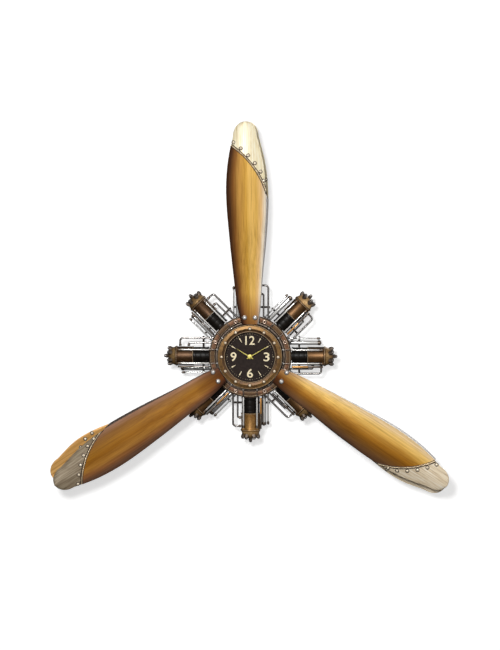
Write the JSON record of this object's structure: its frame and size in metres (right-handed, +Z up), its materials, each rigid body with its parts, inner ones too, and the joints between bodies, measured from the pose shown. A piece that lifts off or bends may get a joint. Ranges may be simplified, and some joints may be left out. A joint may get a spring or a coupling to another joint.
{
  "type": "propeller wall clock",
  "caption": "Wall clock shaped as a three-blade wooden propeller with metal tip caps, a radial engine behind it and a riveted clock in the hub.",
  "frame": {"origin": "hub axis at the wall: centre of the hub on the back face of the back plate", "axes": "+Z up, front of the clock towards -Y, +X to the right seen from the front"},
  "size_m": [1.0191, 0.104, 0.9442],
  "materials": {
    "wood": "warm varnish with fine lengthwise streaks",
    "bronze": "antique bronze, brushed and worn bright on the edges",
    "dark_bronze": "dark antique bronze",
    "champagne": "pale champagne metal brushed lengthwise",
    "black": "gloss black",
    "chrome": "polished",
    "steel": "plain sheet steel",
    "gold": "polished gold",
    "dial_black": "matt black with gold figures",
    "plastic": "moulded black plastic",
    "brass": "plain brass",
    "board": "green circuit board",
    "copper": "enamelled copper winding"
  },
  "bodies": {
    "root_clock": {"blade_top": "wood", "tip_cap_front_top": "champagne", "tip_cap_back_top": "champagne", "tip_rib_top": "gold", "blade_left": "wood", "tip_cap_front_left": "champagne", "tip_cap_back_left": "champagne", "tip_rib_left": "gold", "blade_right": "wood", "tip_cap_front_right": "champagne", "tip_cap_back_right": "champagne", "tip_rib_right": "gold", "blade_bolts": "chrome", "crankcase": "dark_bronze", "back_plate": "steel", "crankcase_ring": "dark_bronze", "clamp_band": "bronze", "push_rods": "chrome", "barrel_1": "black", "cylinder_head_1": "bronze", "pipes_1": "chrome", "barrel_2": "black", "cylinder_head_2": "bronze", "pipes_2": "chrome", "barrel_3": "black", "cylinder_head_3": "bronze", "pipes_3": "chrome", "barrel_4": "black", "cylinder_head_4": "bronze", "pipes_4": "chrome", "barrel_5": "black", "cylinder_head_5": "bronze", "pipes_5": "chrome", "barrel_6": "black", "cylinder_head_6": "bronze", "pipes_6": "chrome", "barrel_7": "black", "cylinder_head_7": "bronze", "pipes_7": "chrome", "barrel_8": "black", "cylinder_head_8": "bronze", "pipes_8": "chrome", "bezel": "bronze", "bezel_rivets": "gold", "dial": "dial_black", "mounting_nut": "brass", "movement_case": "plastic", "movement_cover": "plastic", "battery": "steel", "circuit_board": "board", "motor_coil": "copper"},
    "minute": {"minute_hand": "gold", "minute_arbor": "brass", "hand_nut": "gold"},
    "hour": {"hour_hand": "gold", "hour_wheel": "plastic"},
    "setting": {"setting_wheel": "plastic", "set_knob": "plastic"}
  },
  "joints": [
    {"name": "minute_turn", "type": "hinge", "parent": "root_clock", "child": "minute", "pos_m": [0, -0.081, 0], "axis": [0, 1, 0], "continuous": true},
    {"name": "hour_turn", "type": "hinge", "parent": "root_clock", "child": "hour", "pos_m": [0, -0.0775, 0], "axis": [0, 1, 0], "continuous": true},
    {"name": "setting_turn", "type": "hinge", "parent": "root_clock", "child": "setting", "pos_m": [0, -0.046, 0.01], "axis": [0, 1, 0], "continuous": true}
  ],
  "couplings": [
    {"joint": "hour_turn", "follows": "minute_turn", "ratio": 0.083333},
    {"joint": "setting_turn", "follows": "minute_turn", "ratio": -0.33333}
  ]
}
